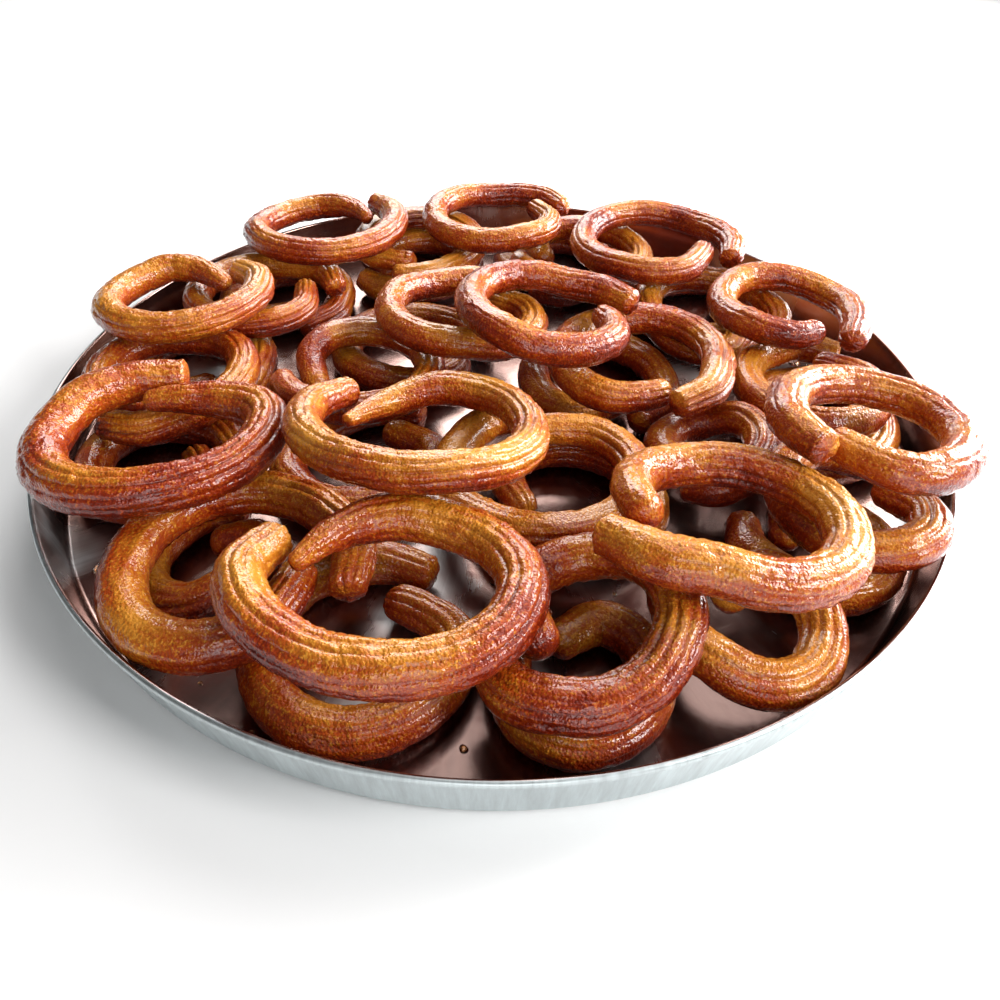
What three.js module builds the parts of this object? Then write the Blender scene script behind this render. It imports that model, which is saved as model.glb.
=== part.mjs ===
// A round baker's tray heaped with ring pastries: star-piped dough loops, fried and soaked in syrup.
//
// Frame: millimetres, +Z up, origin under the middle of the tray on the surface it stands on.
// +X is to the right and +Y away from somebody standing in front of the tray.
//
// Each ring is one closed solid: a ridged strand of dough bent round into a loop, whose outer end runs
// past its inner end. The rings are laid one after another, as a baker heaps them. Every ring is dropped
// on what already lies there, then tilts and slides a little until its middle is as low as it can get,
// and sags where nothing is under it.
import * as THREE from "three";

// ---- Tray: one sheet of aluminium, spun to a flat floor, a flared wall and a hemmed rim ----
const TRAY = {
  rimRadius: 260, // to the outside of the hem
  floorRadius: 252, // to the outside of the wall, where it meets the floor's bend
  height: 35,
  sheet: 1.6,
  bend: 5, // radius of the bend between floor and wall
  hem: 3, // width of the folded edge
  sides: 48,
};

// ---- Dough strand ----
const DOUGH = {
  groove: 1.9, // depth of a groove under the ridges
  endBulge: 4, // how far an end bulges out
  endTaper: 0.84, // share of the thickness left at the outer end
  endReach: 0.17, // share of the loop over which an end swings out of the circle, and the tail thins
  endsApart: 2.6, // space between the two ends where they pass each other
  twist: 40, // degrees that the ridges turn along a loop
  uneven: 1.5, // how far a loop strays from its circle
  gap: 0.35, // clearance between neighbours
  stray: 30, // how far outside its circle a loop's strand may reach, ends and slide included
  sag: 8, // most that an unsupported stretch hangs down
  sagBend: 0.9, // how sharply the sag may change from one station to the next
};

// A layer's rings: how many ridges and stations they are made with, and how far they may tilt (degrees)
// and slide while they settle.
const TOP = { ridges: 6, stations: 16, tilt: 5, slide: 3 };
const MIDDLE = { ridges: 5, stations: 15, tilt: 12, slide: 8 };
const FLOOR = { ridges: 4, stations: 14, tilt: 12, slide: 14 };

const rad = (degrees) => (degrees * Math.PI) / 180;

// ---- The heap, in the order in which the rings are laid ----
// x, y: middle of the loop. across: its outside diameter. thick: over the ridges. ends: the side on which
// the two ends meet, in degrees from +X towards +Y. lap: by how many degrees they pass each other.
// deep: size from front to back as a share of across. lean: tilts about X and Y from which it settles.
// way: 1 where the strand runs clockwise from its inner end, -1 where it runs the other way. outer: how
// much of the swing that parts the ends is the outer end's. tail: share of the thickness left at the
// inner end, which the baker pulls to a point as the loop is closed.
const RING = { deep: 1, lean: [0, 0], way: 1, outer: 0.35, tail: 0.8 };
function ring(x, y, across, thick, ends, lap, more) {
  return { ...RING, x, y, across, thick, ends, lap, ...more };
}

const FLOOR_RINGS = [
  ring(-59, -182, 110, 22, 60, 8), // 01
  ring(39, -196, 86, 22, 120, 8),
  ring(167, -119, 82, 22, 160, 8), // 03
  ring(-141, -149, 80, 22, 80, 8),
  ring(-190, -72, 92, 22, 20, 8), // 05
  ring(115, -177, 86, 22, 120, 8),
  ring(-194, 28, 102, 22, 300, 8), // 07
  ring(196, -12, 102, 22, 220, 8),
  ring(-155, 118, 100, 22, 300, 8), // 09
  ring(-62, 186, 104, 22, 220, 8),
  ring(48, 190, 104, 22, 250, 8), // 11
  ring(150, 122, 104, 22, 45, 8),
  ring(-74, -54, 104, 22, 60, 8), // 13
  ring(42, -84, 106, 22, 200, 8),
  ring(-58, 62, 106, 22, 10, 8), // 15
  ring(66, 30, 106, 22, 300, 8),
  ring(124, -48, 76, 22, 240, 8), // 17
];

const MIDDLE_RINGS = [
  ring(-117, -155, 118, 23, 350, 8), // 01
  ring(50, -192, 98, 22.5, 200, 8),
  ring(182, -110, 92, 21, 30, 8), // 03
  ring(27, -86, 122, 21, 100, 8, { deep: 0.9 }),
  ring(-196, -6, 108, 21, 250, 8), // 05
  ring(-82, 6, 104, 20, 200, 8),
  ring(-165, 98, 106, 20, 15, 8), // 07
  ring(-60, 182, 108, 20, 260, 8),
  ring(66, 168, 110, 20, 200, 8), // 09
  ring(148, 92, 102, 20, 330, 8),
  ring(192, -10, 98, 21, 60, 8), // 11
];

const TOP_RINGS = [
  ring(-43, -188, 134, 23, 155, 15, { lean: [-12, 0], deep: 0.77, tail: 0.4 }), // 01
  ring(108, -151, 119, 22.5, 199, -6, { lean: [-10, 0], deep: 0.93, outer: 0.75 }),
  ring(-171, -92, 134, 24, 103, 20, { lean: [-7, 0], deep: 0.84, tail: 0.5 }), // 03
  ring(-36, -89, 130, 20.5, 149, 24, { lean: [-8, 0], tail: 0.4 }),
  ring(193, -85, 109, 22, 218, 8, { lean: [-5, 0], deep: 0.96, way: -1, outer: 0.5 }), // 05
  ring(-132, 168, 120, 20.5, 36, 30, { lean: [-6, 0], deep: 0.93, way: -1, tail: 0.5 }),
  ring(-1, 190, 117, 20, 28, 12, { lean: [-7, 0], deep: 0.88 }), // 07
  ring(116, 150, 125, 20.5, 332, 6, { lean: [-4, 0], deep: 0.94 }),
  ring(-205, 56, 110, 20.5, 48, 16, { lean: [-3, 0], deep: 0.93, way: -1, outer: 0.3, tail: 0.6 }), // 09
  ring(190, 59, 103, 20.5, 295, -14, { lean: [-4, 0], deep: 0.95, outer: 0.65 }),
  ring(-22, 50, 112, 20.5, 60, 6, { lean: [4, 0] }), // 11
  ring(91, 12, 114, 21, 288, 4, { lean: [6, 0], outer: 0.5 }),
  ring(30, 25, 113, 21, 17, -4, { lean: [-7, 0], outer: 0.6 }), // 13
];

// ---- Seeded draws, so that the heap comes out the same every time ----
function seeded(seed) {
  let state = seed;
  return () => {
    state = (state * 1664525 + 1013904223) % 4294967296;
    return state / 4294967296;
  };
}
const draw = seeded(7);

// ---- A loop's middle line ----
// Share of the full thickness at a place along the strand, which thins towards its tail.
function slimness(share, tail) {
  return 1 - (1 - tail) * Math.min(Math.max(1 - share / DOUGH.endReach, 0), 1);
}

// Stations round the loop, from the inner end, in its own level frame. Near the ends the circle opens
// into a spiral, so that the outer end runs beside the inner one.
function loopLine({ across, thick, ends, lap, deep, way, outer, tail }, stations) {
  const lapped = lap / (360 + lap);
  const apart = (thick * (1 + slimness(lapped, tail))) / 2 + DOUGH.endsApart;
  const swing = (share) => {
    const t = Math.min(Math.max((share - lapped) / DOUGH.endReach, 0), 1);
    return 0.5 + 0.5 * Math.cos(Math.PI * t);
  };
  const [phase2, phase3] = [draw() * 2 * Math.PI, draw() * 2 * Math.PI];
  return Array.from({ length: stations }, (_, i) => {
    const share = i / (stations - 1);
    const angle = rad(ends + way * (lap / 2 - share * (360 + lap)));
    const stray = DOUGH.uneven * (0.6 * Math.cos(2 * angle + phase2) + 0.4 * Math.cos(3 * angle + phase3));
    const spiral = apart * (outer * swing(1 - share) - (1 - outer) * swing(share));
    const radius = (across - thick) / 2 + stray + spiral;
    return new THREE.Vector3(radius * Math.cos(angle), radius * deep * Math.sin(angle), 0);
  });
}

// Points every few millimetres along the straight stretches between stations.
const PARTS_PER_STRETCH = 5;
function densely(line) {
  const points = [];
  for (let i = 0; i < line.length - 1; i++) {
    for (let k = 0; k < PARTS_PER_STRETCH; k++) {
      points.push(line[i].clone().lerp(line[i + 1], k / PARTS_PER_STRETCH));
    }
  }
  return [...points, line.at(-1).clone()];
}

// ---- Where a strand may lie ----
// The wall as hoops of thin tube, one above another, from the floor's bend to the hem.
const HOOPS = 6;
const WALL_HOOPS = Array.from({ length: HOOPS }, (_, i) => {
  const half = TRAY.hem / 2;
  const share = (i + 1) / HOOPS;
  return {
    radius: TRAY.floorRadius + (TRAY.rimRadius - TRAY.floorRadius) * share - half,
    z: TRAY.height * share - half,
    half,
  };
});

const laid = []; // every ring laid so far: where it is, its half thickness and its dense points

// How far above another's middle a middle must be at the distance `far` to stay `reach` away.
const above = (far, reach) => (far < reach ? Math.sqrt(reach * reach - far * far) : -Infinity);

// The lowest height at which a point of a loop clears the floor, the wall and all that lies there.
function lowestAt(x, y, half, near) {
  const out = Math.hypot(x, y);
  let z = TRAY.sheet + half + DOUGH.gap;
  for (const hoop of WALL_HOOPS) {
    z = Math.max(z, hoop.z + above(Math.abs(out - hoop.radius), half + hoop.half + DOUGH.gap));
  }
  for (const other of near) {
    const reach = half + other.half + DOUGH.gap;
    for (const p of other.points) {
      if (Math.abs(p.x - x) < reach) z = Math.max(z, p.z + above(Math.hypot(p.x - x, p.y - y), reach));
    }
  }
  return z;
}

function restHeight(line, { x, y }, half, near) {
  return densely(line).reduce((z, p) => Math.max(z, lowestAt(x + p.x, y + p.y, half, near) - p.z), -Infinity);
}

function leaned(line, [aboutX, aboutY]) {
  const turn = new THREE.Quaternion().setFromEuler(new THREE.Euler(rad(aboutX), rad(aboutY), 0));
  return line.map((p) => p.clone().applyQuaternion(turn));
}

// ---- Settling ----
// A pose is how much of its freedom a ring uses: tilt about X, tilt about Y, slide along X, slide along Y.
const STEPS = [1, 0.5, 0.25, 0.12, 0.06];
const LEAST_SINKING = 0.01;
const AXES = [0, 1, 2, 3];
const MOVES = AXES.flatMap((axis) => [1, -1].map((sign) => AXES.map((a) => (a === axis ? sign : 0))));

// Moves the loop in ever smaller steps, always the way that lets its middle sink most.
function settle(ring, line, near, { tilt, slide }) {
  const placeOf = ([a, b, dx, dy]) => ({
    lean: [ring.lean[0] + a * tilt, ring.lean[1] + b * tilt],
    x: ring.x + dx * slide,
    y: ring.y + dy * slide,
  });
  const rest = (pose) => {
    const place = placeOf(pose);
    const z = restHeight(leaned(line, place.lean), place, ring.thick / 2, near);
    return { pose, z, cost: z + pose.reduce((sum, v) => sum + v * v, 0) };
  };
  const allowed = ([a, b, dx, dy]) => Math.hypot(a, b) <= 1 && Math.hypot(dx, dy) <= 1;
  let best = rest([0, 0, 0, 0]);
  for (const step of STEPS) {
    let sinking = true;
    while (sinking) {
      const poses = MOVES.map((move) => best.pose.map((v, i) => v + move[i] * step));
      const tries = poses.filter(allowed).map(rest);
      const lowest = tries.reduce((low, one) => (one.cost < low.cost ? one : low));
      sinking = lowest.cost < best.cost - LEAST_SINKING;
      if (sinking) best = lowest;
    }
  }
  return { ...placeOf(best.pose), z: best.z };
}

// Lets each station hang by what is free under the stretches beside it, up to DOUGH.sag, in a soft bend.
function sagged(line, half, near) {
  const drop = line.map(() => DOUGH.sag);
  densely(line).forEach((p, i) => {
    const room = Math.max(p.z - lowestAt(p.x, p.y, half, near), 0);
    const stretch = Math.min(Math.floor(i / PARTS_PER_STRETCH), line.length - 2);
    for (const station of [stretch - (i % PARTS_PER_STRETCH ? 0 : 1), stretch, stretch + 1]) {
      if (station >= 0) drop[station] = Math.min(drop[station], room);
    }
  });
  line.forEach(() => {
    drop.forEach((_, i) => {
      const beside = (drop[Math.max(i - 1, 0)] + drop[Math.min(i + 1, drop.length - 1)]) / 2;
      drop[i] = Math.min(drop[i], beside + DOUGH.sagBend);
    });
  });
  return line.map((p, i) => p.clone().setZ(p.z - drop[i]));
}

function lay(ring, layer) {
  const half = ring.thick / 2;
  const line = loopLine(ring, layer.stations);
  const near = laid.filter((other) => {
    const apart = Math.hypot(other.x - ring.x, other.y - ring.y);
    return apart < (other.across + ring.across) / 2 + DOUGH.stray;
  });
  const place = settle(ring, line, near, layer);
  const middle = new THREE.Vector3(place.x, place.y, place.z);
  const placed = sagged(leaned(line, place.lean).map((p) => p.add(middle)), half, near);
  laid.push({ x: place.x, y: place.y, across: ring.across, half, points: densely(placed) });
  return placed;
}

// ---- Solids ----
// A ridged section at each station, square to the line, joined by faces and closed by a bulging end.
function strandGeometry(line, { thick, tail }, ridges) {
  const around = ridges * 2;
  const last = line.length - 1;
  const middle = line.reduce((sum, p) => sum.add(p), new THREE.Vector3()).divideScalar(line.length);
  const positions = [];
  const faces = [];
  line.forEach((p, i) => {
    const along = line[Math.min(i + 1, last)].clone().sub(line[Math.max(i - 1, 0)]).normalize();
    const outward = p.clone().sub(middle);
    outward.addScaledVector(along, -outward.dot(along)).normalize();
    const upward = new THREE.Vector3().crossVectors(outward, along);
    const taper = i === last ? DOUGH.endTaper : slimness(i / last, tail);
    for (let k = 0; k < around; k++) {
      const angle = (2 * Math.PI * k) / around + (rad(DOUGH.twist) * i) / last;
      const radius = (thick / 2 - (k % 2 ? DOUGH.groove : 0)) * taper;
      const corner = p.clone().addScaledVector(outward, radius * Math.cos(angle));
      positions.push(...corner.addScaledVector(upward, radius * Math.sin(angle)));
    }
  });
  for (let i = 0; i < last; i++) {
    for (let k = 0; k < around; k++) {
      const [a, b] = [i * around + k, i * around + ((k + 1) % around)];
      faces.push(a, a + around, b, b, a + around, b + around);
    }
  }
  for (const [end, inward] of [[0, 1], [last, last - 1]]) {
    const outOfEnd = line[end].clone().sub(line[inward]).normalize();
    const bulge = DOUGH.endBulge * (end ? 1 : tail);
    const tip = positions.push(...line[end].clone().addScaledVector(outOfEnd, bulge)) / 3 - 1;
    for (let k = 0; k < around; k++) {
      const [a, b] = [end * around + k, end * around + ((k + 1) % around)];
      faces.push(tip, ...(end ? [b, a] : [a, b]));
    }
  }
  const geometry = new THREE.BufferGeometry();
  geometry.setAttribute("position", new THREE.Float32BufferAttribute(positions, 3));
  geometry.setIndex(faces);
  geometry.computeVertexNormals();
  return geometry;
}

function trayGeometry() {
  const { rimRadius, floorRadius, height, sheet, bend, hem, sides } = TRAY;
  const wall = rimRadius - hem / 2; // the wall's outer face under the hem
  const outline = [
    [0, 0],
    [floorRadius - bend, 0],
    [floorRadius - bend * 0.3, bend * 0.3],
    [floorRadius, bend],
    [wall, height - hem * 1.6],
    [rimRadius, height - hem * 1.3],
    [rimRadius, height - hem * 0.4],
    [rimRadius - hem / 2, height],
    [rimRadius - hem, height - hem * 0.4],
    [wall - sheet, height - hem * 1.3],
    [floorRadius - sheet, bend],
    [floorRadius - bend, sheet],
    [0, sheet],
  ];
  const profile = outline.map(([x, y]) => new THREE.Vector2(x, y));
  return new THREE.LatheGeometry(profile, sides).rotateX(Math.PI / 2);
}

// ---- The group ----
const aluminium = new THREE.MeshStandardMaterial({
  name: "aluminium",
  color: "#b9c2c4",
  roughness: 0.35,
  metalness: 1,
});
const dough = new THREE.MeshStandardMaterial({
  name: "syrup_dough",
  color: "#c05c16",
  roughness: 0.3,
  metalness: 0,
});

const group = new THREE.Group();
group.name = "ring_pastries_on_tray";

const tray = new THREE.Mesh(trayGeometry(), aluminium);
tray.name = "tray";
group.add(tray);

for (const [name, rings, layer] of [
  ["floor", FLOOR_RINGS, FLOOR],
  ["middle", MIDDLE_RINGS, MIDDLE],
  ["top", TOP_RINGS, TOP],
]) {
  rings.forEach((one, i) => {
    const mesh = new THREE.Mesh(strandGeometry(lay(one, layer), one, layer.ridges), dough);
    mesh.name = `ring_${name}_${String(i + 1).padStart(2, "0")}`;
    group.add(mesh);
  });
}

export default group;
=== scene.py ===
"""A round baker's tray heaped with ring pastries: star-piped dough, fried and soaked in syrup.

Metres, +Z up, +X to the right and +Y away from somebody standing in front of the tray. The origin is
under the middle of the tray, on the surface that it stands on. The file goes through the object as it
is put together: the tray, the rings, the syrup that ran off them, and then the studio.
"""
import math

import bpy
import numpy as np
from mathutils import Matrix, Vector


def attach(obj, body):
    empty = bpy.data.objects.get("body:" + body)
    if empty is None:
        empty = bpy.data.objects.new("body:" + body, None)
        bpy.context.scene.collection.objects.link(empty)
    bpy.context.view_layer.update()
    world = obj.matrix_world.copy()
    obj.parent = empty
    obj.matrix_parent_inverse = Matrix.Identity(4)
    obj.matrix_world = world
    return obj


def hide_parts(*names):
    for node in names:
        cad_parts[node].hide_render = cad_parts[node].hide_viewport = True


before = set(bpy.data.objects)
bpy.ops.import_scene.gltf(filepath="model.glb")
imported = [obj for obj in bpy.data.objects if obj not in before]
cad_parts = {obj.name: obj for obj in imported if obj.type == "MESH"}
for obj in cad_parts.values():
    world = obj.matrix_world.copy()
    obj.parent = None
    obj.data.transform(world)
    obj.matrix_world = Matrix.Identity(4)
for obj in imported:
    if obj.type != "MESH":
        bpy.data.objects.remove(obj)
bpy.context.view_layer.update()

MM = 0.001

# ---- The tray ----
# One round sheet of aluminium, spun over a former: a flat floor, a tight bend and a wall that flares
# a little, with its edge folded outwards into a hem. Its outside is brushed up and down, and its
# inside is dulled by use and wet with the syrup that has run off the rings. The wet patches are
# painted darker than syrup alone, as painted shade and painted reflection of the brown rings.
SHEET = 1.6 * MM
RIM_RADIUS = 260 * MM
FLOOR_RADIUS = 252 * MM  # outside of the wall, above the bend
TRAY_HEIGHT = 35 * MM
BEND = 5 * MM
HEM = 3 * MM  # width of the folded edge
FOLD_STRAIGHT = 0.8 * MM  # how far the fold's outside runs straight down
FOLD_INSIDE = 1.5 * MM  # how far below the fold's middle the wall's inside begins
FOLD_OUTSIDE = 2.6 * MM  # how far below the fold's middle the wall's outside ends
FLOOR_MIDDLE = 20 * MM  # radius of the innermost row of points
OUT_OF_ROUND = 0.3 * MM
TRAY_TURN = 360  # steps round the tray


def arc(r, z, radius, start, stop, steps):
    """Points on a circle about (r, z) in the outline's plane, from one angle to another, in degrees."""
    angle = np.radians(np.linspace(start, stop, steps))
    return np.stack([r + radius * np.cos(angle), z + radius * np.sin(angle)], axis=1)


def skin(name, first, rows, last):
    """A closed surface: rows of points that each go once round it, drawn to a single point at both ends.

    rows is (along, around, 3). Its faces are turned outwards by the sign of the volume they hold."""
    along, around, _ = rows.shape
    points = np.concatenate([[first], rows.reshape(-1, 3), [last]])
    index = 1 + np.arange(along * around).reshape(along, around)
    ahead = np.roll(index, -1, axis=1)
    quads = np.stack([index[:-1], ahead[:-1], ahead[1:], index[1:]], axis=-1).reshape(-1, 4)
    tip = np.stack([np.zeros(around, int), ahead[0], index[0]], axis=-1)
    tail = np.stack([np.full(around, along * around + 1), index[-1], ahead[-1]], axis=-1)
    corners = np.concatenate([tip, tail, quads[:, [0, 1, 2]], quads[:, [0, 2, 3]]])
    a, b, c = points[corners[:, 0]], points[corners[:, 1]], points[corners[:, 2]]
    if np.einsum("ij,ij->", a, np.cross(b, c)) < 0:
        quads, tip, tail = quads[:, ::-1], tip[:, ::-1], tail[:, ::-1]
    mesh = bpy.data.meshes.new(name)
    loops = np.concatenate([tip.ravel(), tail.ravel(), quads.ravel()])
    sizes = np.concatenate([np.full(2 * around, 3), np.full(len(quads), 4)])
    mesh.vertices.add(len(points))
    mesh.vertices.foreach_set("co", points.astype(np.float32).ravel())
    mesh.loops.add(len(loops))
    mesh.loops.foreach_set("vertex_index", loops.astype(np.int32))
    mesh.polygons.add(len(sizes))
    mesh.polygons.foreach_set("loop_start", (np.cumsum(sizes) - sizes).astype(np.int32))
    mesh.update(calc_edges=True)
    mesh.validate()
    mesh.polygons.foreach_set("use_smooth", np.ones(len(sizes), bool))
    piece = bpy.data.objects.new(name, mesh)
    bpy.context.scene.collection.objects.link(piece)
    return piece


def paint(piece, name, values):
    """Stores one number a vertex under a name that the piece's material reads."""
    attribute = piece.data.attributes.new(name, "FLOAT", "POINT")
    attribute.data.foreach_set("value", np.asarray(values, np.float32).ravel())


def tray_outline():
    """Radius and height of the sheet, from the middle of the underside, over the hem, to the middle above."""
    wall_top = RIM_RADIUS - HEM / 2
    hem_z = TRAY_HEIGHT - HEM / 2
    lower = [[r, 0] for r in np.linspace(FLOOR_MIDDLE, FLOOR_RADIUS - BEND, 12, endpoint=False)]
    bend_out = arc(FLOOR_RADIUS - BEND, BEND, BEND, -90, -12, 8)
    lip = arc(wall_top, hem_z - FOLD_STRAIGHT, HEM / 2, -60, 0, 5)
    top = arc(wall_top, hem_z, HEM / 2, 0, 180, 11)
    inner = np.linspace([wall_top - SHEET, hem_z - FOLD_INSIDE], [FLOOR_RADIUS - SHEET, BEND], 10)
    bend_in = arc(FLOOR_RADIUS - BEND, BEND, BEND - SHEET, -12, -90, 8)
    upper = [[r, SHEET] for r in np.linspace(FLOOR_RADIUS - BEND, FLOOR_MIDDLE, 12)[1:]]
    outer = np.linspace(bend_out[-1], [wall_top, hem_z - FOLD_OUTSIDE], 10)[1:]
    return np.concatenate([lower, bend_out, outer, lip, top, inner, bend_in, upper])


outline = tray_outline()
turn = np.linspace(0, 2 * np.pi, TRAY_TURN, endpoint=False)
# Spinning and handling leave the wall a hair out of round, in waves of two and five round the tray.
waves = 0.6 + 0.3 * np.sin(2 * turn + 1) + 0.1 * np.sin(5 * turn)
out_of_round = 1 - waves * OUT_OF_ROUND / RIM_RADIUS
rows = np.stack(
    [
        outline[:, 0, None] * np.cos(turn) * out_of_round,
        outline[:, 0, None] * np.sin(turn) * out_of_round,
        np.repeat(outline[:, 1, None], TRAY_TURN, axis=1),
    ],
    axis=-1,
)
tray = skin("baking_tray", [0, 0, 0], rows, [0, 0, SHEET])
over_hem = np.arange(len(outline)) > np.argmax(outline[:, 1])
paint(tray, "inside", np.concatenate([[0], np.repeat(over_hem, TRAY_TURN), [1]]))


def node_tree(material):
    """A new material's nodes and its Principled shader."""
    material.use_nodes = True
    tree = material.node_tree
    return tree, tree.nodes["Principled BSDF"]


def add(tree, kind, values=(), **settings):
    """One node, with settings by name and values by socket."""
    node = tree.nodes.new(kind)
    for key, value in settings.items():
        setattr(node, key, value)
    for socket, value in dict(values).items():
        if isinstance(value, bpy.types.NodeSocket):
            tree.links.new(value, node.inputs[socket])
        else:
            node.inputs[socket].default_value = value
    return node


def math_node(tree, operation, a, b, clamp=False):
    """One Math node on two sockets or numbers. Returns its output."""
    return add(tree, "ShaderNodeMath", {0: a, 1: b}, operation=operation, use_clamp=clamp).outputs[0]


def ramp(tree, factor, stops):
    """A colour ramp through (position, colour) stops. Returns its colour."""
    node = add(tree, "ShaderNodeValToRGB", {0: factor})
    elements = node.color_ramp.elements
    while len(elements) < len(stops):
        elements.new(0.5)
    for element, (position, colour) in zip(elements, stops):
        element.position = position
        element.color = (*colour, 1)
    return node.outputs[0]


def blend_colours(tree, factor, a, b):
    """A colour Mix node, from colour a to colour b. Returns its colour."""
    node = add(tree, "ShaderNodeMix", data_type="RGBA")
    for socket, value in ((0, factor), (6, a), (7, b)):
        if isinstance(value, bpy.types.NodeSocket):
            tree.links.new(value, node.inputs[socket])
        else:
            node.inputs[socket].default_value = value if socket == 0 else (*value, 1)
    return node.outputs[2]


def syrup_film_group():
    """Where syrup lies thick: soft patches with small beads in them. Puts out a mask and its height."""
    group = bpy.data.node_groups.new("syrup_film", "ShaderNodeTree")
    for name, default in (("Patch Scale", 30.0), ("Bead Scale", 300.0), ("Cover", 0.5)):
        socket = group.interface.new_socket(name, in_out="INPUT", socket_type="NodeSocketFloat")
        socket.default_value = default
    for name in ("Mask", "Height"):
        group.interface.new_socket(name, in_out="OUTPUT", socket_type="NodeSocketFloat")
    inputs = group.nodes.new("NodeGroupInput").outputs
    place = add(group, "ShaderNodeTexCoord").outputs["Object"]
    patches = add(group, "ShaderNodeTexNoise", {"Vector": place, "Scale": inputs[0], "Detail": 3}).outputs[0]
    beads = add(group, "ShaderNodeTexVoronoi", {"Vector": place, "Scale": inputs[1]}).outputs[0]
    cover = math_node(group, "ADD", patches, math_node(group, "SUBTRACT", inputs[2], 0.5))
    mask = add(group, "ShaderNodeMapRange", {0: cover, 1: 0.42, 2: 0.6}).outputs[0]
    round_beads = math_node(group, "SUBTRACT", 1.0, beads, clamp=True)
    height = math_node(group, "MULTIPLY", mask, round_beads)
    out = group.nodes.new("NodeGroupOutput")
    group.links.new(mask, out.inputs["Mask"])
    group.links.new(height, out.inputs["Height"])
    return group


SYRUP_FILM = syrup_film_group()

BRUSH_ROUND = 70.0  # brush marks in a radian round the tray
BRUSH_UP = 25.0  # and in a metre of height
ALUMINIUM = (0.67, 0.735, 0.745)
ALUMINIUM_DULL = (0.44, 0.48, 0.49)
SYRUP_STAIN_AND_PAINTED_SHADE = (0.31, 0.16, 0.125)

aluminium = bpy.data.materials.new("brushed_aluminium")
tree, shader = node_tree(aluminium)
place = add(tree, "ShaderNodeTexCoord").outputs["Object"]
split = add(tree, "ShaderNodeSeparateXYZ", {0: place}).outputs
round_tray = math_node(tree, "ARCTAN2", split[1], split[0])
inside = add(tree, "ShaderNodeAttribute", attribute_name="inside").outputs["Fac"]
# Brush marks run up the wall: noise that is fine round the tray and long in height.
marks_round = math_node(tree, "MULTIPLY", round_tray, BRUSH_ROUND)
marks_up = math_node(tree, "MULTIPLY", split[2], BRUSH_UP)
brushed_place = add(tree, "ShaderNodeCombineXYZ", {0: marks_round, 1: marks_up}).outputs[0]
marks = {"Vector": brushed_place, "Scale": 1.0, "Detail": 4, "Roughness": 0.7}
brushed = add(tree, "ShaderNodeTexNoise", marks).outputs[0]
cloudy = add(tree, "ShaderNodeTexNoise", {"Vector": place, "Scale": 16.0, "Detail": 4}).outputs[0]
worn = {"Vector": place, "Scale": 240.0, "Detail": 2, "Distortion": 1.5}
scratches = add(tree, "ShaderNodeTexNoise", worn).outputs[0]
film = add(tree, "ShaderNodeGroup", node_tree=SYRUP_FILM)
film.inputs["Patch Scale"].default_value = 14.0
film.inputs["Bead Scale"].default_value = 190.0
film.inputs["Cover"].default_value = 0.62
wet = math_node(tree, "MULTIPLY", film.outputs["Mask"], inside)
brightness = add(tree, "ShaderNodeMapRange", {0: brushed, 1: 0.3, 2: 0.7}).outputs[0]
metal = blend_colours(tree, brightness, ALUMINIUM_DULL, ALUMINIUM)
metal = blend_colours(tree, math_node(tree, "MULTIPLY", cloudy, 0.35), metal, ALUMINIUM_DULL)
# Syrup stain colour on the wet patches, darkened as painted shade and painted reflection of the rings.
stained_and_shaded = blend_colours(tree, math_node(tree, "MULTIPLY", wet, 0.85), metal, SYRUP_STAIN_AND_PAINTED_SHADE)
tree.links.new(stained_and_shaded, shader.inputs["Base Color"])
rough = math_node(tree, "ADD", math_node(tree, "MULTIPLY", brushed, 0.3), 0.3)
dry_less = math_node(tree, "SUBTRACT", 1.0, math_node(tree, "MULTIPLY", wet, 0.5))
tree.links.new(math_node(tree, "MULTIPLY", rough, dry_less), shader.inputs["Roughness"])
shader.inputs["Metallic"].default_value = 1.0
relief = math_node(tree, "MULTIPLY", film.outputs["Height"], wet)
for value, amount in ((brushed, 0.5), (scratches, 0.25)):
    relief = math_node(tree, "ADD", relief, math_node(tree, "MULTIPLY", value, amount))
bump = add(tree, "ShaderNodeBump", {"Strength": 0.35, "Distance": 0.12 * MM, "Height": relief})
tree.links.new(bump.outputs[0], shader.inputs["Normal"])
tray.data.materials.append(aluminium)
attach(tray, "root")
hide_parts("tray")

# ---- The rings ----
# A soft dough of flour, semolina and egg is pressed through a star nozzle straight into warm oil and
# bent into a loop whose ends pass each other. Frying blisters it and browns its ridges, and it goes
# hot into cold syrup, which soaks in and leaves it glossy. Each lies where its solid lies in the heap.
END_ROUND = 0.95  # length of the rounded tail's tip, as a share of the strand's half thickness there
END_BLUNT = 0.32  # the same at the outer end
RAGGED = 0.5 * MM  # how uneven the cut of the outer end is
RAGGED_REACH = 4 * MM  # how far from the outer end that is felt
GROOVE = 0.18  # depth of the deepest grooves, as a share of the half thickness
GROOVE_SHARP = 0.64  # exponent of the ridges' profile: lower is sharper in the groove
BOLDER_RIGHT = 0.38  # how much bolder a ring's ridges are at its right side than at its front and back
TWIST = 30.0  # degrees that the ridges turn along a loop
WANDER = 8  # degrees that they stray from that
GROOVE_RUN = 30 * MM  # length over which a groove's depth changes
LUMP = 9 * MM  # size of the swellings along a strand
BLISTER = 2.2 * MM  # size of the larger blisters
SWELLING = 0.2 * MM  # height of both
FRIED_MIDDLE = 0.31  # how far fried the flanks are, from 0 for deep brown to 1 for pale gold
FRIED_AND_LIT_SPREAD = 0.33  # how much paler the top is than the flanks, and they than the underside: partly frying, partly painted light and shade
PATCH = 34 * MM  # size of the paler and darker patches
MOTTLE = 9 * MM  # size of the smaller ones in them
FIRST_SEED = 100


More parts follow.
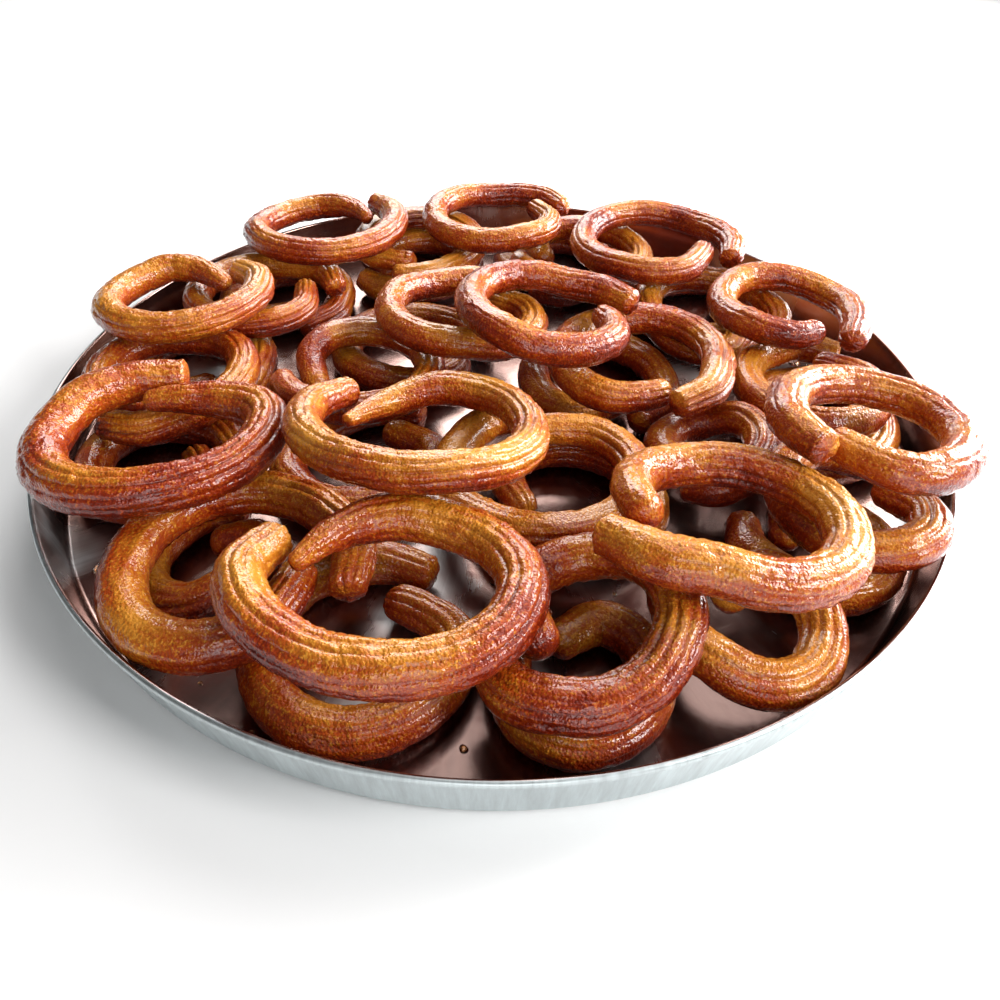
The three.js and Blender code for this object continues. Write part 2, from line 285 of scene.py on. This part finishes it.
def stations(node):
    """The middle of each section of a strand's solid and its half thickness, as rows of x, y, z, half.

    The solid's points are merged. Its two ends are the points where the most edges meet, and the
    sections are the sets of points that are one, two, three and more edges away from the first end.
    The rows run from the blunt outer end to the thinner tail."""
    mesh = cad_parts[node].data
    points = np.zeros(len(mesh.vertices) * 3, np.float32)
    mesh.vertices.foreach_get("co", points)
    corners = np.zeros(len(mesh.loops), np.int32)
    mesh.loops.foreach_get("vertex_index", corners)
    merged, where = np.unique(points.reshape(-1, 3).round(6), axis=0, return_inverse=True)
    faces = where.reshape(-1)[corners].reshape(-1, 3)
    joined = np.zeros((len(merged), len(merged)), bool)
    for a, b in ((0, 1), (1, 2), (2, 0)):
        joined[faces[:, a], faces[:, b]] = joined[faces[:, b], faces[:, a]] = True
    ends = np.argsort(joined.sum(0))[-2:]
    seen = np.zeros(len(merged), bool)
    ring = np.zeros(len(merged), bool)
    ring[ends[0]] = True
    rows = []
    while ring.any():
        middle = merged[ring].mean(0)
        rows.append([*middle, np.linalg.norm(merged[ring] - middle, axis=1).max()])
        seen |= ring
        ring = joined[ring].any(0) & ~seen
    rows = np.array(rows)
    rows[[0, -1], 3] = rows[[1, -2], 3]
    middle = rows[:, :3].mean(0)
    outer_first = np.linalg.norm(rows[0, :3] - middle) > np.linalg.norm(rows[-1, :3] - middle)
    return rows if outer_first else rows[::-1]


def smooth_line(points, spacing):
    """A cubic curve through rows of x, y, z, half thickness, sampled at even steps of its own length."""
    padded = np.concatenate([[2 * points[0] - points[1]], points, [2 * points[-1] - points[-2]]])
    u = np.linspace(0, len(points) - 1, 60 * len(points))
    i = np.minimum(u.astype(int), len(points) - 2)
    t = (u - i)[:, None]
    p, q, r, s = padded[i], padded[i + 1], padded[i + 2], padded[i + 3]
    fine = q + 0.5 * t * (r - p + t * (2 * p - 5 * q + 4 * r - s + t * (3 * (q - r) + s - p)))
    length = np.concatenate([[0], np.cumsum(np.linalg.norm(np.diff(fine[:, :3], axis=0), axis=1))])
    steps = np.linspace(0, length[-1], int(length[-1] / spacing) + 1)
    return np.stack([np.interp(steps, length, column) for column in fine.T], axis=1), steps


def lumps(draw, along, around, step, across, size):
    """Smooth random relief on a strand's skin with swellings of one size, about 1 high either way."""
    spectrum = np.fft.fft2(draw.standard_normal((along, around)))
    kx = 2 * np.pi * np.fft.fftfreq(along, step)[:, None]
    ky = 2 * np.pi * np.fft.fftfreq(around, across)[None, :]
    relief = np.fft.ifft2(spectrum * np.exp(-(kx**2 + ky**2) * (size / 3) ** 2 / 2)).real
    return relief / relief.std()


def fried_ring(node, ridges, fine, spacing, draw):
    """A star-shaped section carried along the loop.

    At the angle a round the strand, counted from the loop's outside through its top, the radius is the
    half thickness less a groove, 1 - |sin(ridges * a / 2)| ** GROOVE_SHARP deep, plus lumps and blisters.
    Grooves are deepest near the top and shallow underneath, and come and go along the loop. Both ends
    close, the outer one bluntly. Each point also gets its fried colour, which holds painted light on top
    and painted shade underneath and in the grooves, and its place along and round the strand. Returns the
    piece and its middle line, as rows of x, y, z, half thickness."""
    middles = stations(node)
    line, steps = smooth_line(middles, spacing)
    # The last few steps crowd towards both tips. The outer end is cut nearly square, the tail is round.
    blunt = END_BLUNT * draw.uniform(0.8, 1.6) * middles[0, 3]
    point = END_ROUND * middles[-1, 3]
    crowd = 1 - np.cos(np.linspace(0.1, 1, 9) * np.pi / 2)
    keep = (steps > blunt) & (steps < steps[-1] - point)
    wanted = np.concatenate([crowd * blunt, steps[keep], steps[-1] - crowd[::-1] * point])
    line = np.stack([np.interp(wanted, steps, column) for column in line.T], axis=1)
    steps, line, half = wanted, line[:, :3], line[:, 3:]
    into_end = np.maximum(1 - steps / blunt, 1 - (steps[-1] + crowd[0] * point - steps) / point)
    tip = np.sqrt(1 - np.clip(into_end, 0, 1) ** 2.3)[:, None]
    along = np.gradient(line, axis=0)
    along /= np.linalg.norm(along, axis=1, keepdims=True)
    outward = line - middles[:, :3].mean(0)
    outward -= (outward * along).sum(1, keepdims=True) * along
    outward /= np.linalg.norm(outward, axis=1, keepdims=True)
    upward = np.array([0, 0, 1.0]) - along[:, 2:] * along
    upward -= (upward * outward).sum(1, keepdims=True) * outward
    upward /= np.linalg.norm(upward, axis=1, keepdims=True)

    around = ridges * fine
    share = steps / steps[-1]
    wander = WANDER * np.sin(2 * np.pi * share * draw.uniform(1, 2) + draw.uniform(0, 6))
    turned = np.radians(draw.uniform(0, 36) + TWIST * share + wander)
    angle = 2 * np.pi * np.arange(around)[None, :] / around + turned[:, None]
    size = (len(steps), around, spacing, 2 * np.pi * middles[:, 3].max() / around)
    # Each groove has a depth of its own, which comes and goes along the strand.
    groove = 1 - np.abs(np.sin(ridges * np.pi * np.arange(around) / around)) ** GROOVE_SHARP
    own = np.clip(draw.normal(0.8, 0.42, ridges), 0.05, 1.6)
    own = own + 0.3 * lumps(draw, len(steps), ridges, spacing, 30 * MM, GROOVE_RUN)
    nearest = np.round(np.arange(around) / fine).astype(int) % ridges
    comes_and_goes = 0.25 * np.sin(2 * np.pi * share + draw.uniform(0, 6))
    bold = np.clip(0.55 + BOLDER_RIGHT * outward[:, 0] + comes_and_goes, 0.1, 1.05)[:, None]
    squeezed = 0.3 + 0.7 * (0.5 + 0.5 * np.cos(angle - np.radians(85 + draw.uniform(-40, 40))))
    deep = GROOVE * half * squeezed * bold * np.clip(own[:, nearest], 0.1, 1.7)
    swell, blister = lumps(draw, *size, LUMP), lumps(draw, *size, BLISTER)
    uneven = 0.975 + 0.012 * np.sin(2 * np.pi * share * 3 + draw.uniform(0, 6))[:, None]
    radius = (half * uneven - deep * groove + SWELLING * swell + SWELLING * blister) * tip
    radius = np.minimum(radius, half)
    rows = line[:, None] + radius[..., None] * (
        np.cos(angle)[..., None] * outward[:, None] + np.sin(angle)[..., None] * upward[:, None]
    )
    # The cut is ragged: near the outer end the skin runs on, or stops short, by up to a millimetre.
    cut = lumps(draw, 1, around, spacing, size[3], 5 * MM)[0]
    ragged = cut * RAGGED * np.exp(-steps / RAGGED_REACH)[:, None]
    rows -= ragged[..., None] * along[:, None] * tip[..., None]
    # No point stands higher than the solid's own top.
    corners = np.array(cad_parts[node].bound_box)
    rows[..., 2] = np.minimum(rows[..., 2], corners[:, 2].max())
    ring = skin(node.replace("ring", "fried_ring"), middles[0, :3], rows, middles[-1, :3])

    # Fried colour: pale gold on top, where the strand floated up out of the oil, and red-brown underneath;
    # this is partly the frying and partly painted light from above and painted shade below. The darker
    # grooves are painted shade. Patches and a shade of the ring's own are added.
    patches, mottled = lumps(draw, *size, PATCH), lumps(draw, *size, MOTTLE)
    shade = FRIED_MIDDLE + FRIED_AND_LIT_SPREAD * np.sin(angle + draw.uniform(-0.4, 0.2))
    shade = shade + 0.12 * patches + 0.04 * mottled
    # Painted shade darkens the grooves.
    shade = shade + draw.uniform(-0.09, 0.11) - 0.12 * groove * squeezed
    paint(ring, "fried", np.concatenate([[0.3], np.clip(shade, 0, 1).ravel(), [0.3]]))
    across, up = half * np.cos(angle), half * np.sin(angle)
    skin_place = np.stack(np.broadcast_arrays(steps[:, None] + draw.uniform(0, 9), across, up), axis=-1)
    skin_place = np.concatenate([skin_place[:1, 0], skin_place.reshape(-1, 3), skin_place[-1:, 0]])
    attribute = ring.data.attributes.new("strand", "FLOAT_VECTOR", "POINT")
    attribute.data.foreach_set("vector", skin_place.astype(np.float32).ravel())
    return ring, np.concatenate([line, half], axis=1)


# The heap's layers: ridges, points on a ridge, and spacing along the strand.
LAYERS = {"top": (12, 8, 1.4 * MM), "middle": (12, 6, 1.9 * MM), "floor": (11, 6, 2.6 * MM)}

CRUST_RELIEF = 0.62 * MM
SYRUP_RELIEF = 0.2 * MM
PALE_GOLD = (0.64, 0.255, 0.026)
AMBER = (0.46, 0.135, 0.008)
FRIED_ORANGE = (0.36, 0.052, 0.004)
RED_BROWN = (0.22, 0.016, 0.0012)
DEEP_BROWN = (0.11, 0.006, 0.0008)

fried_dough = bpy.data.materials.new("fried_syrup_dough")
tree, shader = node_tree(fried_dough)
place = add(tree, "ShaderNodeTexCoord").outputs["Object"]
# The fried attribute carries painted light on top and painted shade underneath and in the grooves.
fried = add(tree, "ShaderNodeAttribute", attribute_name="fried").outputs["Fac"]
strand = add(tree, "ShaderNodeAttribute", attribute_name="strand").outputs["Vector"]


def skin_noise(scale_along, scale_around, detail):
    """A pattern on the strand's own coordinates, so that it is drawn out along it or across it."""
    scales = (scale_along, scale_around, scale_around)
    moved = add(tree, "ShaderNodeMapping", {"Vector": strand, "Scale": scales})
    noise = {"Vector": moved.outputs[0], "Scale": 1.0, "Detail": detail}
    return add(tree, "ShaderNodeTexNoise", noise).outputs[0]


pebbles = add(tree, "ShaderNodeTexVoronoi", {"Vector": place, "Scale": 760.0}).outputs[0]
grain = {"Vector": place, "Scale": 620.0, "Detail": 2.5, "Roughness": 0.7}
crumb = add(tree, "ShaderNodeTexNoise", grain).outputs[0]
clouds = add(tree, "ShaderNodeTexNoise", {"Vector": place, "Scale": 80.0, "Detail": 2.5}).outputs[0]
piped = skin_noise(60, 700, 2)
creases = skin_noise(650, 130, 1.5)
film = add(tree, "ShaderNodeGroup", node_tree=SYRUP_FILM)
film.inputs["Patch Scale"].default_value = 60.0


def spread(value, amount):
    """A pattern about 0.5 turned into one about 0, as wide as the amount."""
    return math_node(tree, "MULTIPLY", math_node(tree, "SUBTRACT", value, 0.5), amount)


brown = fried
for value, amount in ((crumb, 0.5), (clouds, 0.45), (piped, 0.25)):
    brown = math_node(tree, "ADD", brown, spread(value, amount))
# Small bubbles in the crust fry less and stay golden; these golden specks are also painted glints.
bubbles_and_glints = add(tree, "ShaderNodeMapRange", {0: crumb, 1: 0.53, 2: 0.66, 4: 0.3}).outputs[0]
brown = math_node(tree, "ADD", brown, bubbles_and_glints)
browning = [(0.0, DEEP_BROWN), (0.22, RED_BROWN), (0.46, FRIED_ORANGE), (0.7, AMBER), (0.95, PALE_GOLD)]
colour = ramp(tree, brown, browning)
tree.links.new(colour, shader.inputs["Base Color"])
rough = add(tree, "ShaderNodeMapRange", {0: film.outputs["Mask"], 3: 0.5, 4: 0.28}).outputs[0]
tree.links.new(rough, shader.inputs["Roughness"])
shader.inputs["Specular IOR Level"].default_value = 0.1
shader.inputs["Coat Weight"].default_value = 1.0
shader.inputs["Coat Roughness"].default_value = 0.07
shader.inputs["Coat IOR"].default_value = 1.5
relief = math_node(tree, "MULTIPLY", pebbles, -0.8)
for value, amount in ((crumb, 1.0), (piped, 0.5), (creases, 0.6)):
    relief = math_node(tree, "ADD", relief, math_node(tree, "MULTIPLY", value, amount))
bump = add(tree, "ShaderNodeBump", {"Strength": 1.0, "Distance": CRUST_RELIEF, "Height": relief})
tree.links.new(bump.outputs[0], shader.inputs["Normal"])
# The syrup fills the smallest pits, so its own surface is smoother than the crust's.
wet_bump = add(tree, "ShaderNodeBump", {"Strength": 1.0, "Distance": SYRUP_RELIEF, "Height": relief})
tree.links.new(wet_bump.outputs[0], shader.inputs["Coat Normal"])

strands = []
for number, node in enumerate(sorted(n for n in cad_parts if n.startswith("ring"))):
    layer = LAYERS[node.split("_")[1]]
    ring, strand_line = fried_ring(node, *layer, np.random.default_rng(FIRST_SEED + number))
    ring.data.materials.append(fried_dough)
    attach(ring, "root")
    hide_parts(node)
    strands.append(strand_line)

# ---- The syrup on the tray ----
# Clear sugar syrup drips off the rings and stands on the metal in beads, each a low dome with an uneven
# edge. Three lie where the photo shows them, and the others wherever no strand rests on the floor.
BEAD_SIZES = (1.2 * MM, 4.2 * MM)  # radius
BEAD_FLATNESS = 0.34  # height as a share of the radius
BEAD_FLOOR = SHEET + 0.03 * MM  # height of a bead's underside
BEADS = 34
BEAD_SEED = 7
SEEN_BEADS = (  # x, y, radius
    (-197 * MM, -131 * MM, 4.6 * MM),
    (-100 * MM, -220 * MM, 1.8 * MM),
    (-87 * MM, -225 * MM, 1.6 * MM),
)
FREE_FLOOR = 238 * MM  # radius of the floor's flat part that beads stand on
RESTING = 9 * MM  # a strand whose underside is lower than this keeps the beads away


def syrup_bead(name, x, y, radius, draw):
    """A dome: from its middle below, out to a rim with two- and three-fold waves, and up a flattened arc."""
    turn = np.linspace(0, 2 * np.pi, 24, endpoint=False)
    waves = 0.1 * np.sin(2 * turn + draw.uniform(0, 6)) + 0.05 * np.sin(3 * turn + draw.uniform(0, 6))
    rim = radius * (1 + waves)
    rise = np.radians(np.linspace(0, 80, 8))
    reach = np.concatenate([[0.5], np.cos(rise)])[:, None] * rim
    height = BEAD_FLOOR + np.concatenate([[0], np.sin(rise)])[:, None] * radius * BEAD_FLATNESS
    rows = np.stack(np.broadcast_arrays(x + reach * np.cos(turn), y + reach * np.sin(turn), height), axis=-1)
    return skin(name, [x, y, BEAD_FLOOR], rows, [x, y, BEAD_FLOOR + radius * BEAD_FLATNESS])


clear_syrup = bpy.data.materials.new("clear_syrup")
tree, shader = node_tree(clear_syrup)
shader.inputs["Base Color"].default_value = (1.0, 0.8, 0.55, 1)
shader.inputs["Roughness"].default_value = 0.03
shader.inputs["Transmission Weight"].default_value = 1.0
shader.inputs["IOR"].default_value = 1.45

draw = np.random.default_rng(BEAD_SEED)
low = np.concatenate(strands)
low = low[low[:, 2] - low[:, 3] < RESTING]
beads = list(SEEN_BEADS)
while len(beads) < BEADS:
    size = BEAD_SIZES[0] + (BEAD_SIZES[1] - BEAD_SIZES[0]) * draw.random() ** 2
    out, way = FREE_FLOOR * math.sqrt(draw.random()), draw.uniform(0, 2 * np.pi)
    x, y = out * math.cos(way), out * math.sin(way)
    off_strands = np.hypot(low[:, 0] - x, low[:, 1] - y).min() > 1.2 * size + low[:, 3].max() + 1 * MM
    if off_strands and all(math.hypot(a - x, b - y) > 1.3 * (r + size) for a, b, r in beads):
        beads.append((x, y, size))
for number, (x, y, size) in enumerate(beads):
    bead = syrup_bead(f"syrup_bead_{number + 1:02d}", x, y, size, draw)
    bead.data.materials.append(clear_syrup)
    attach(bead, "root")

# ---- The studio ----
# A pale table top and five soft lights. The two strongest stand low on the right, like windows, so that
# the rings' right sides shine and their left sides stay dark. World light is weak.
TABLE = 4.0  # half its width
TABLE_TOP = -0.2 * MM
TABLE_UNDERSIDE = -2 * MM
square = ((-1, -1), (1, -1), (1, 1), (-1, 1))
table = skin(
    "table_top",
    [0, 0, TABLE_UNDERSIDE],
    np.array([[[TABLE * x, TABLE * y, z] for x, y in square] for z in (TABLE_UNDERSIDE, TABLE_TOP)]),
    [0, 0, TABLE_TOP],
)
table.data.polygons.foreach_set("use_smooth", np.zeros(len(table.data.polygons), bool))
pale = bpy.data.materials.new("pale_table")
tree, shader = node_tree(pale)
shader.inputs["Base Color"].default_value = (0.9, 0.9, 0.9, 1)
shader.inputs["Roughness"].default_value = 0.7
table.data.materials.append(pale)


def soft_light(name, place, aim, size, watts, colour):
    """A square panel of light at a place, facing a point."""
    light = bpy.data.lights.new(name, "AREA")
    light.size = size
    light.energy = watts
    light.color = colour
    lamp = bpy.data.objects.new(name, light)
    lamp.location = place
    lamp.rotation_euler = (Vector(aim) - Vector(place)).to_track_quat("-Z", "Y").to_euler()
    bpy.context.scene.collection.objects.link(lamp)


soft_light("window", (1.15, 0.6, 0.55), (0, 0, 0.04), 0.9, 46, (1, 0.98, 0.97))
soft_light("right", (1.2, -0.6, 0.9), (0, 0, 0.04), 0.6, 22, (1, 0.99, 0.98))
soft_light("back", (-0.1, 1.4, 0.9), (0, 0, 0.04), 1.0, 24, (1, 0.99, 0.98))
soft_light("front", (0.1, -1.5, 0.7), (0, 0, 0.04), 0.9, 9, (1, 1, 1))
soft_light("ceiling", (0.3, 0.4, 1.6), (0, 0, 0), 1.3, 8, (1, 1, 1))

world = bpy.data.worlds.new("studio")
world.use_nodes = True
world.node_tree.nodes["Background"].inputs[0].default_value = (1, 1, 1, 1)
world.node_tree.nodes["Background"].inputs[1].default_value = 0.08
bpy.context.scene.world = world
bpy.context.scene.view_settings.view_transform = "Standard"

# The camera stands 55 cm from the tray and looks down on it, as the photographer did.
EYE = Vector((0, -434.6, 336.5)) * MM
LOOKS_AT = Vector((0, 0, 46.2)) * MM
ROLL = 0.99  # degrees
camera_data = bpy.data.cameras.new("camera")
camera_data.lens = 31.22
camera_data.sensor_width = 36.0
camera_data.shift_x = 0.0049
camera_data.shift_y = -0.1406
camera_data.clip_start = 0.02
camera = bpy.data.objects.new("camera", camera_data)
level = (LOOKS_AT - EYE).to_track_quat("-Z", "Y").to_matrix().to_4x4()
camera.matrix_world = Matrix.Translation(EYE) @ level @ Matrix.Rotation(math.radians(ROLL), 4, "Z")
bpy.context.scene.collection.objects.link(camera)
bpy.context.scene.camera = camera
